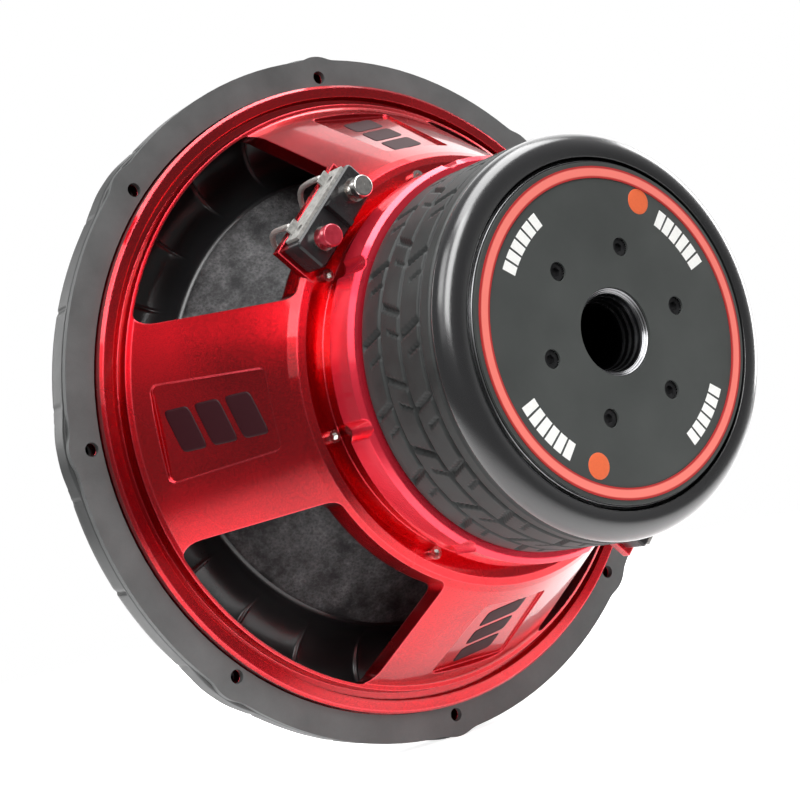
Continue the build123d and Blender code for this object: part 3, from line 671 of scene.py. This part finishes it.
def cap_surface():
    """Part of a ball that meets a flat rim, with a bell-shaped groove just inside the rim, and its wall
    behind."""
    out = np.concatenate([np.linspace(0, 46, 40), np.linspace(46.3, CAP_BEND, 30)])
    dome = CAP_TOP + CAP_BALL - np.sqrt(CAP_BALL**2 - out**2)
    dome = dome + 0.7 * np.exp(-(((out - 50.6) / 0.8) ** 2))
    rim_y = cone_face(CAP_RADIUS)
    rim = np.array([(CAP_BEND + 1.0, rim_y - 0.2), (CAP_BEND + 2.2, rim_y - 0.9),
                    (CAP_RADIUS - 0.1, rim_y - 0.75), (CAP_RADIUS, rim_y - 0.1),
                    (CAP_BEND - 1.0, cone_face(CAP_BEND - 1.0) - 0.1)])
    inside = np.linspace(CAP_BEND - 1.2, 0, 24)
    inner = CAP_TOP + CAP_WALL + CAP_BALL - np.sqrt(CAP_BALL**2 - inside**2)
    line = np.concatenate([np.stack([out, dome], axis=1), rim, np.stack([inside, inner], axis=1)])
    angle = full_turn(200)
    return place(line[:, :1], line[:, 1:] + 0 * angle, angle)


def twill_shell():
    """Dark lacquered composite. Threads along X lie over threads along Z two by two, each row a thread
    further on; a square where X lies over is a little lighter and smoother, and the threads' crowns show
    through the lacquer."""
    made, tree, shader = principled("twill_shell", Coat_Weight=0.5, Coat_Roughness=0.12)
    where = object_place(tree)
    parts = add(tree, "SeparateXYZ", {0: where}).outputs
    steps = [maths(tree, "MULTIPLY", parts[axis], TWILL_THREADS) for axis in ("X", "Z")]
    floors = [maths(tree, "FLOOR", step) for step in steps]
    place_in_four = maths(tree, "FLOORED_MODULO", maths(tree, "ADD", *floors), 4.0)
    over = maths(tree, "GREATER_THAN", place_in_four, 1.5)
    crowns = [maths(tree, "PINGPONG", step, 0.5) for step in steps]
    crown = add(tree, "Mix", {0: over, 2: crowns[0], 3: crowns[1]}).outputs[0]
    tone = maths(tree, "MULTIPLY_ADD", over, 0.5, crown)
    tone = maths(tree, "MULTIPLY", tone, noise(tree, where, 1400.0, 3.0))
    feed(tree, shader.inputs, Base_Color=tint(tree, tone, (0.012, 0.012, 0.013, 1), (0.062, 0.062, 0.064, 1)),
         Roughness=ramp(tree, over, low=0.46, high=0.36))
    wear(tree, shader, crown, 0.00006)
    return made


dome = skin("dust_cap_dome", cap_surface(), loop=False)
dress(dome, "cone_assembly", twill_shell(), "dust_cap_shell", "dust_cap")


def cap_ring_surface():
    """Low ring that rides on the dome: its profile is half an ellipse over a flat foot, carried round a
    centre above the middle of the dome and dropped on to the ball's surface point by point."""
    turn, sweep = full_turn(120), full_turn(24)[:, None]
    reach = BADGE_R + BADGE_HALF_WIDTH * np.cos(sweep)
    height = BADGE_HEIGHT * np.maximum(np.sin(sweep), -0.25)
    x, z = reach * np.cos(turn), BADGE_UP + reach * np.sin(turn)
    ball = CAP_TOP + CAP_BALL - np.sqrt(CAP_BALL**2 - x**2 - z**2)
    return np.stack([x, ball - height, z], axis=-1) * MM


badge = moulded("badge_plastic", (0.05, 0.05, 0.052), (0.1, 0.1, 0.104), (0.22, 0.32), relief=0.00001,
                Coat_Weight=0.4)
dress(skin("dust_cap_badge", cap_ring_surface()), "cone_assembly", badge, "dust_cap_badge", "dust_cap_ring")

# -------------------------------------------------------- spiders
# Two discs of woven cloth, dipped in resin and pressed into waves, hold the coil in the middle of the gap.
# Their edges are clamped between rings in the collar and their necks are glued on the former, so they stretch
# as it moves.

SPIDER_NECK_R, SPIDER_EDGE_R = 33.0, 82.8
WAVE_START_R, WAVE_PITCH, WAVE_HEIGHT = 40.0, 9.0, 2.2
CLOTH_HALF = 0.4


def plain_weave():
    """Cloth woven of threads along X and Z: each thread is a row of half waves, raised where it passes
    over."""
    tree, given, wanted = shader_group("plain_weave", {"Threads": ("Float", 1200.0)},
                                       {"Height": "Float", "Tone": "Float"})
    where = object_place(tree)
    parts = add(tree, "SeparateXYZ", {0: where}).outputs
    steps = [maths(tree, "MULTIPLY", parts[axis], given["Threads"]) for axis in ("X", "Z")]
    waves = [maths(tree, "SINE", step) for step in steps]
    height = ramp(tree, maths(tree, "MULTIPLY", *waves), start=-1.0)
    feed(tree, wanted, Height=height, Tone=maths(tree, "MULTIPLY", height, noise(tree, where, 90.0, 6.0)))
    return tree


WEAVE = plain_weave()


def spider_cloth():
    """Dark resin-dipped cotton with the plain weave."""
    made, tree, shader = principled("spider_cloth", Roughness=0.78, Sheen_Weight=0.15)
    weave = add(tree, "Group", node_tree=WEAVE).outputs
    tone = tint(tree, weave["Tone"], (0.03, 0.028, 0.026, 1), (0.16, 0.15, 0.14, 1))
    feed(tree, shader.inputs, Base_Color=tone)
    wear(tree, shader, weave["Height"], 0.00015)
    return made


def spider_surface(edge_y):
    """Disc with sine waves in radius between a slanting neck and a flat edge, and its wall behind it."""
    radius = np.linspace(SPIDER_NECK_R, SPIDER_EDGE_R, 150)
    wave = WAVE_HEIGHT * np.sin((radius - WAVE_START_R) / WAVE_PITCH * 2 * np.pi)
    wave = wave * smooth_step(radius, 39.0, 41.0)
    neck = 2.0 * (1 - smooth_step(radius, SPIDER_NECK_R, WAVE_START_R))
    station = edge_y - neck - wave * (1 - smooth_step(radius, 75.0, 76.5))
    line = np.concatenate([np.stack([radius, station - CLOTH_HALF], axis=1),
                           np.stack([radius, station + CLOTH_HALF], axis=1)[::-1]])
    angle = full_turn(180)
    return place(line[:, :1], line[:, 1:] + 0 * angle, angle)


cloth = spider_cloth()
for name in ("spider_front", "spider_rear"):
    low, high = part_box(name)
    disc = skin(f"{name}_cloth", spider_surface((low.y + high.y) / 2 / MM))
    follow_cone(dress(disc, None, cloth, "spider_cloth", name))

# -------------------------------------------------------- clamp rings, former and windings
# Black moulded rings clamp the spiders. The coil is two layers of copper wire, wound one over the other on a
# tube of rolled aluminium, and it hangs in the gap between the pole and the top plate.

ring_plastic = moulded("ring_plastic", (0.012, 0.012, 0.012), (0.035, 0.035, 0.036), (0.4, 0.55))
finish_with(ring_plastic, "spider_spacer", "spider_clamp_ring")


def from_axis(tree, where):
    """Distance of a place from the driver's axis."""
    parts = add(tree, "SeparateXYZ", {0: where}).outputs
    flat = add(tree, "CombineXYZ", {0: parts["X"], 2: parts["Z"]}).outputs[0]
    return add(tree, "VectorMath", {0: flat}, operation="LENGTH").outputs["Value"]


def axis_bands():
    """Fine bands square to the driver's axis, as wire turns or rolling marks leave: a sine of the station
    along Y, a sine of the distance from Y for turned faces, and noise that breaks both up."""
    tree, given, wanted = shader_group("axis_bands", {"Turns": ("Float", 6000.0)},
                                       {"Along": "Float", "Across": "Float", "Patch": "Float"})
    where = object_place(tree)
    station = add(tree, "SeparateXYZ", {0: where}).outputs["Y"]
    patch = noise(tree, where, 60.0, 5.0)
    for source, output in ((station, "Along"), (from_axis(tree, where), "Across")):
        phase = maths(tree, "MULTIPLY_ADD", patch, 2.5, maths(tree, "MULTIPLY", source, given["Turns"]))
        tree.links.new(ramp(tree, maths(tree, "SINE", phase), start=-1.0), wanted[output])
    feed(tree, wanted, Patch=patch)
    return tree


BANDS = axis_bands()


def banded(name, dark, light, rough, band, turns, relief, **sockets):
    """Metal with bands along or across the driver's axis, between two tones."""
    made, tree, shader = principled(name, **sockets)
    marks = add(tree, "Group", {"Turns": turns}, node_tree=BANDS).outputs
    share = maths(tree, "MULTIPLY", marks[band], marks["Patch"])
    feed(tree, shader.inputs, Base_Color=tint(tree, share, (*dark, 1), (*light, 1)),
         Roughness=ramp(tree, share, low=rough[0], high=rough[1]))
    wear(tree, shader, marks[band], relief)
    return made


rolled_aluminium = banded("rolled_aluminium", (0.4, 0.4, 0.42), (0.72, 0.72, 0.74), (0.28, 0.45), "Along",
                          9000.0, 0.00001, Metallic=1.0)
copper_wire = banded("copper_wire", (0.3, 0.09, 0.03), (0.85, 0.36, 0.16), (0.25, 0.4), "Along", 7400.0,
                     0.0002, Metallic=1.0, Coat_Weight=0.5)
sleeve_copper = banded("sleeve_copper", (0.6, 0.24, 0.12), (0.85, 0.42, 0.25), (0.2, 0.35), "Along", 12000.0,
                       0.00001, Metallic=1.0)
finish_with(rolled_aluminium, "voice_coil_former")
finish_with(copper_wire, "voice_coil_inner_winding", "voice_coil_outer_winding")
finish_with(sleeve_copper, "shorting_sleeve")

# -------------------------------------------------------- steel and magnets
# The top plate, the vented pole and the back plate are turned from steel and carry the field of two ferrite
# rings that are glued between them. The steel has a black zinc finish, worn bright at the mouth of the vent.

motor_steel = banded("motor_steel", (0.1, 0.1, 0.105), (0.5, 0.5, 0.51), (0.2, 0.4), "Across", 9000.0,
                     0.00002, Metallic=1.0)
finish_with(motor_steel, "top_plate", "pole_piece", "back_plate")
ferrite = moulded("ferrite", (0.03, 0.03, 0.032), (0.09, 0.088, 0.085), (0.55, 0.75), cloud=80.0, grain=900.0,
                  relief=0.00006)
finish_with(ferrite, "magnet_front", "magnet_rear")

# -------------------------------------------------------- motor boot
# A rubber sleeve is stretched over the magnets. Rows of staggered tread blocks with grooves between them
# stand on its front half; behind them come a plain band, a narrow rib and a smooth glossy shoulder that rolls
# in to the label.

BOOT_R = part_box("motor_boot")[1].x / MM
BOOT_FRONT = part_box("motor_boot")[0].y / MM
BOOT_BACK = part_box("motor_boot")[1].y / MM
TREAD_BLOCKS = 18
TREAD_ROWS = ((105.6, 116.4, 0.0), (118.4, 129.4, 0.5), (131.4, 142.4, 0.0))
ROUND_GROOVES = (117.4, 130.4, 143.4)
RIB_GROOVE_Y = 150.6
GROOVE_DEPTH = 1.7
SHOULDER_Y, SHOULDER_ROUND = 151.0, 8.0
SHADE_AND_GLOSS_START, SHADE_AND_GLOSS_END = 149.5, 151.5


def boot_surface():
    """Profile of the sleeve carried round the axis. The outer wall is cut by depth fields: straight grooves
    round the sleeve between the rows, and in each row cross grooves that lean with the station and start half
    a block further on in every second row, each with a short sipe beside it."""
    wall_y = np.concatenate([np.linspace(BOOT_FRONT + 1.0, 144.5, 118), np.linspace(145.2, RIB_GROOVE_Y, 14)])
    wall = np.stack([np.full_like(wall_y, BOOT_R), wall_y], axis=1)
    roll = np.linspace(0, np.pi / 2, 22)[1:]
    shoulder = np.stack([BOOT_R - 0.2 - SHOULDER_ROUND * (1 - np.cos(roll)),
                         SHOULDER_Y + (BOOT_BACK - SHOULDER_Y) * np.sin(roll)], axis=1)
    rest = np.array([(69.0, 159.0), (68.6, 158.6), (72.4, 152.4), (72.4, 148.4), (75.4, 148.4), (75.4, 126.0),
                     (75.4, 104.3), (76.0, BOOT_FRONT), (78.8, BOOT_FRONT), (79.6, BOOT_FRONT + 0.4)])
    line = np.concatenate([wall, shoulder, rest])
    angle = full_turn(576)
    radius, station = line[:, :1] + 0 * angle, line[:, 1:] + 0 * angle
    depth = np.zeros_like(radius)
    on_wall = np.arange(len(line))[:, None] < len(wall)
    for front, back, shift in TREAD_ROWS:
        inside = smooth_step(station, front - 0.5, front + 0.5)
        inside = inside * (1 - smooth_step(station, back - 0.5, back + 0.5))
        block = angle * TREAD_BLOCKS / (2 * np.pi) + shift + (station - front) * 0.014 * (1 - 4 * shift)
        across = (np.mod(block, 1.0) - 0.5) * 2 * np.pi * BOOT_R / TREAD_BLOCKS
        cut = 1 - smooth_step(np.abs(across), 0.7, 1.5)
        sipe = 1 - smooth_step(np.abs(across - 9.0), 0.25, 0.7)
        sipe = sipe * smooth_step(station, front + 3.5, front + 4.5)
        depth = depth + inside * np.maximum(cut, 0.7 * sipe)
    for groove in ROUND_GROOVES:
        depth = np.maximum(depth, 1 - smooth_step(np.abs(station - groove), 0.5, 1.3))
    depth = np.maximum(depth, 0.55 * (1 - smooth_step(np.abs(station - RIB_GROOVE_Y), 0.5, 1.2)))
    radius = radius - on_wall * GROOVE_DEPTH * np.clip(depth, 0, 1)
    return place(radius, station, angle)


def boot_skin():
    """Moulded skin that turns glossier towards the shoulder, by the station along Y, and darker there as
    painted shade.
    """
    made, tree, shader = principled("boot_rubber", Specular_IOR_Level=0.35, Coat_IOR=1.7, Coat_Roughness=0.22)
    surface = moulded_surface(tree, (0.015, 0.016, 0.016), (0.047, 0.05, 0.049), (0.45, 0.62), 45.0, 1500.0)
    station = add(tree, "SeparateXYZ", {0: object_place(tree)}).outputs["Y"]
    gloss_and_painted_shade = ramp(tree, station, SHADE_AND_GLOSS_START * MM, SHADE_AND_GLOSS_END * MM)
    gloss = add(tree, "Mix", {0: gloss_and_painted_shade, 2: surface["Roughness"], 3: 0.24}).outputs[0]
    # Painted shade: over the shoulder the colour is darkened, together with the real gloss and coat.
    feed(tree, shader.inputs, Base_Color=tint(tree, gloss_and_painted_shade, surface["Color"], (0.012, 0.012, 0.013, 1)),
         Roughness=gloss, Coat_Weight=gloss_and_painted_shade)
    wear(tree, shader, surface["Height"], 0.00003)
    return made


dress(skin("boot_sleeve", boot_surface()), "frame", boot_skin(), "boot_rubber", "motor_boot")

# -------------------------------------------------------- label
# A dark satin disc closes the back of the motor round the vent. A red ring is printed near its edge. Inside
# the ring are four rows of plain white blocks and two orange dots.

LABEL_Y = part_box("label_disc")[1].y / MM
RING_HALF_WIDTH = 2.4
TILE_CIRCLE, TILE_PITCH, TILE_WIDTH = 53.3, 4.6, 3.7
TILE_ROWS = ((133.5, 6.0), (36.5, 7.2), (216.5, 7.2), (313.5, 6.0))
TILES = 6
DOTS = (("label_dot_upper", 62, 55.0), ("label_dot_lower", 245, 53.5))
DOT_R = 5.2
label_face = moulded("label_face", (0.046, 0.05, 0.048), (0.074, 0.079, 0.076), (0.45, 0.58), cloud=16.0,
                     grain=2200.0, relief=0.00001, Specular_IOR_Level=0.35)
finish_with(label_face, "label_disc")


def ring_print():
    """Red ring whose two edges are darker than its middle, by the distance from the axis."""
    made, tree, shader = principled("ring_print", Coat_Weight=0.3)
    where = object_place(tree)
    mottle = noise(tree, where, 900.0, 4.0)
    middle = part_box("label_ring")[1].x - RING_HALF_WIDTH * MM
    off = maths(tree, "ABSOLUTE", maths(tree, "SUBTRACT", from_axis(tree, where), middle))
    colour = tint(tree, ramp(tree, off, 0.0013, 0.0018), (0.92, 0.21, 0.17, 1), (0.45, 0.02, 0.02, 1))
    feed(tree, shader.inputs, Base_Color=colour, Roughness=ramp(tree, mottle, low=0.25, high=0.45))
    wear(tree, shader, mottle, 0.00001)
    return made


finish_with(ring_print(), "label_ring")


def arc_block(middle_angle, height):
    """Thin tile on the label: a low section with bevelled upper corners, carried a short way round the axis.
    At both ends the section shrinks to its own middle, which closes the tile."""
    out = height * np.array([-0.5, -0.5, -0.46, 0.46, 0.5, 0.5])[:, None]
    lift = np.array([-0.03, 0.04, 0.07, 0.07, 0.04, -0.03])[:, None]
    size = np.array([0, 1, 1, 1, 0])
    turn = middle_angle + TILE_WIDTH / TILE_CIRCLE * np.array([-0.5, -0.5, 0.0, 0.5, 0.5])
    return place(TILE_CIRCLE + out * size, LABEL_Y + lift * size, turn)


white_ink = ink("white_ink", (1.0, 1.0, 0.97), 0.45)
for row, (angle, height) in enumerate(TILE_ROWS):
    for block in range(TILES):
        turn = math.radians(angle) + (block - (TILES - 1) / 2) * TILE_PITCH / TILE_CIRCLE
        tile = skin(f"label_row_{row}_{block}", arc_block(turn, height), ring=False, smooth=False)
        dress(tile, "frame", white_ink, "label_plastic")


def dot_surface(angle, radius):
    """Low round dome on the label."""
    turn = full_turn(40)
    share = np.array([0.0, 0.7, 0.95, 1.0, 0.0])[:, None]
    lift = np.array([0.1, 0.1, 0.07, -0.03, -0.03])[:, None]
    x = -radius * math.cos(angle) + DOT_R * share * np.cos(turn)
    z = radius * math.sin(angle) + DOT_R * share * np.sin(turn)
    return np.stack([x, LABEL_Y + lift + 0 * x, z], axis=-1) * MM


orange_ink = ink("orange_ink", (0.85, 0.16, 0.06), 0.4)
for name, angle, radius in DOTS:
    dot = skin(name, dot_surface(math.radians(angle), radius), loop=False)
    dress(dot, "frame", orange_ink, "label_plastic")

# -------------------------------------------------------- screws
# Nickel plated cap screws hold the clamp rings on the collar, and blackened ones the top plate and the pole.

nickel = moulded("nickel_plate", (0.5, 0.48, 0.46), (0.8, 0.78, 0.75), (0.16, 0.3), cloud=400.0, grain=3000.0,
                 relief=0.00001, Metallic=1.0)
finish_with(nickel, "collar_screws")
black_oxide = moulded("black_oxide", (0.012, 0.012, 0.013), (0.06, 0.06, 0.062), (0.3, 0.45), cloud=300.0,
                      relief=0.00001, Metallic=0.6)
finish_with(black_oxide, "motor_screws", "pole_screws")

# -------------------------------------------------------- terminals
# Each terminal is a black moulded block with two plated collars, a plain plated button and a red one over
# coil springs, and a grey fibre strip with tinned lugs on its outer side.

SPRING_WIRE_R = 0.25
SPRING_TURNS = 4
terminal_plastic = moulded("terminal_plastic", (0.01, 0.01, 0.011), (0.03, 0.03, 0.032), (0.2, 0.34),
                           grain=2500.0, relief=0.00001)
red_cap = moulded("red_cap", (0.42, 0.01, 0.03), (0.78, 0.06, 0.1), (0.18, 0.3), cloud=200.0, relief=0.00001,
                  Metallic=0.4, Coat_Weight=0.8)
fibre_board = fibrous("fibre_board", (0.16, 0.16, 0.15), (0.42, 0.41, 0.39), 0.6, 500.0, 0.00008)
spring_wire = banded("spring_wire", (0.35, 0.35, 0.36), (0.7, 0.7, 0.72), (0.2, 0.3), "Along", 20000.0,
                     0.000005, Metallic=1.0)


def spring_surface(low, high):
    """Round wire along a helix about Y that fills a box: the coil angle grows evenly with the station, the
    section lies in the plane of the radius and Y, and it closes to a point at both ends."""
    wire, turns = SPRING_WIRE_R, SPRING_TURNS
    share = np.linspace(0, 1, 60 * turns)
    angle = 2 * np.pi * turns * share
    rise = low.y / MM + wire + (high.y - low.y - 2 * wire * MM) / MM * share
    x, z = (low.x + high.x) / 2 / MM, (low.z + high.z) / 2 / MM
    coil = (high.x - low.x) / 2 / MM - wire
    around = full_turn(10)
    thick = wire * np.minimum(1, 40 * np.minimum(share, 1 - share))[:, None]
    reach = coil + thick * np.cos(around)
    station = rise[:, None] + thick * np.sin(around)
    x, z = x + reach * np.cos(angle)[:, None], z + reach * np.sin(angle)[:, None]
    return np.stack([x, station, z], axis=-1) * MM


for letter in "ab":
    finish_with(terminal_plastic, f"terminal_{letter}_block")
    finish_with(nickel, f"terminal_{letter}_barrels", f"terminal_{letter}_black_button")
    finish_with(red_cap, f"terminal_{letter}_red_button")
    finish_with(fibre_board, f"terminal_{letter}_lug_strip")
    for colour in ("black", "red"):
        node = f"terminal_{letter}_{colour}_spring"
        low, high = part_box(node)
        coil = skin(f"button_spring_{letter}_{colour}", spring_surface(low, high), loop=False)
        dress(coil, "frame", spring_wire, "spring_steel", node)
        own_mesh(coil)

# -------------------------------------------------------- tinsel leads
# Four braided leads carry the current from the lugs to the neck of the cone. Each is a tube of fine tinned
# wires braided over a thread, soft enough to follow the cone, and is soldered at both ends.

TERMINAL_ANGLES = (133.5, 313.5)
LEAD_R = 1.2
TAB_REAR = 77.0
POST_HALF = 13.0


def lead_route(angle, side):
    """Points of a lead's route: off the lug, forward past the clamp ring, and in to the neck of the cone.
    Each is a distance from the axis, a share of the half distance between two posts, and a station behind the
    tab."""
    drawn = np.array([
        (106.6, 1.0, 2.5), (107.4, 0.98, -5.5), (106.0, 0.94, -15.0), (97.0, 0.86, -23.0),
        (85.0, 0.74, -27.5), (71.0, 0.62, -27.0), (58.0, 0.50, -23.5), (46.5, 0.40, -22.6),
        (34.9, 0.34, -22.5)])
    out = np.array([-math.cos(angle), 0, math.sin(angle)])
    beside = np.array([math.sin(angle), 0, math.cos(angle)])
    back = np.array([0, 1, 0])
    points = drawn[:, :1] * out + drawn[:, 1:2] * side * POST_HALF * beside + (TAB_REAR + drawn[:, 2:]) * back
    return points * MM


def smooth_line(points):
    """Points read from one open NURBS spline that has the route's points as its control points."""
    curve = bpy.data.curves.new("route", "CURVE")
    curve.dimensions = "3D"
    curve.resolution_u = 16
    spline = curve.splines.new("NURBS")
    spline.points.add(len(points) - 1)
    spline.points.foreach_set("co", np.column_stack([points, np.ones(len(points))]).ravel())
    spline.order_u = 3
    spline.use_endpoint_u = True
    drawn = bpy.data.objects.new("route", curve)
    line = bpy.data.meshes.new_from_object(drawn)
    spots = np.zeros(len(line.vertices) * 3)
    line.vertices.foreach_get("co", spots)
    bpy.data.objects.remove(drawn)
    return spots.reshape(-1, 3)


def braid_surface(line):
    """Tube carried along a line. Its radius is raised where strands of two opposite helices pass: the larger
    of two cosines of strand count times the angle, plus or minus the length run, and it closes to a point at
    both ends."""
    run = np.linalg.norm(np.diff(line, axis=0), axis=1).sum()
    steps = 240
    spots = equal_steps(line, steps)
    ahead = np.gradient(spots, axis=0)
    ahead /= np.linalg.norm(ahead, axis=1, keepdims=True)
    side = np.cross(ahead, (0.0, 1.0, 0.0))
    side /= np.linalg.norm(side, axis=1, keepdims=True)
    up = np.cross(side, ahead)
    turn = full_turn(28)
    length = np.linspace(0, run, steps)[:, None] / (LEAD_R * MM)
    strands = np.maximum(np.cos(4 * turn + 2.2 * length), np.cos(4 * turn - 2.2 * length))
    radius = LEAD_R * MM * (0.9 + 0.1 * strands)
    radius[[0, -1]] = 0.0
    return (spots[:, None] + radius[..., None] * (np.cos(turn)[:, None] * side[:, None]
                                                   + np.sin(turn)[:, None] * up[:, None]))


tinned_braid = fibrous("tinned_braid", (0.3, 0.29, 0.27), (0.62, 0.6, 0.57), 0.42, 2600.0, 0.00003,
                       Metallic=0.7)
for letter, angle in zip("ab", TERMINAL_ANGLES):
    for colour, side in (("black", -1), ("red", 1)):
        line = smooth_line(lead_route(math.radians(angle), side))
        lead = skin(f"lead_{letter}_{colour}", braid_surface(line), loop=False)
        dress(lead, None, tinned_braid, "lead_braid", f"tinsel_lead_{letter}_{colour}")
        follow_cone(lead)
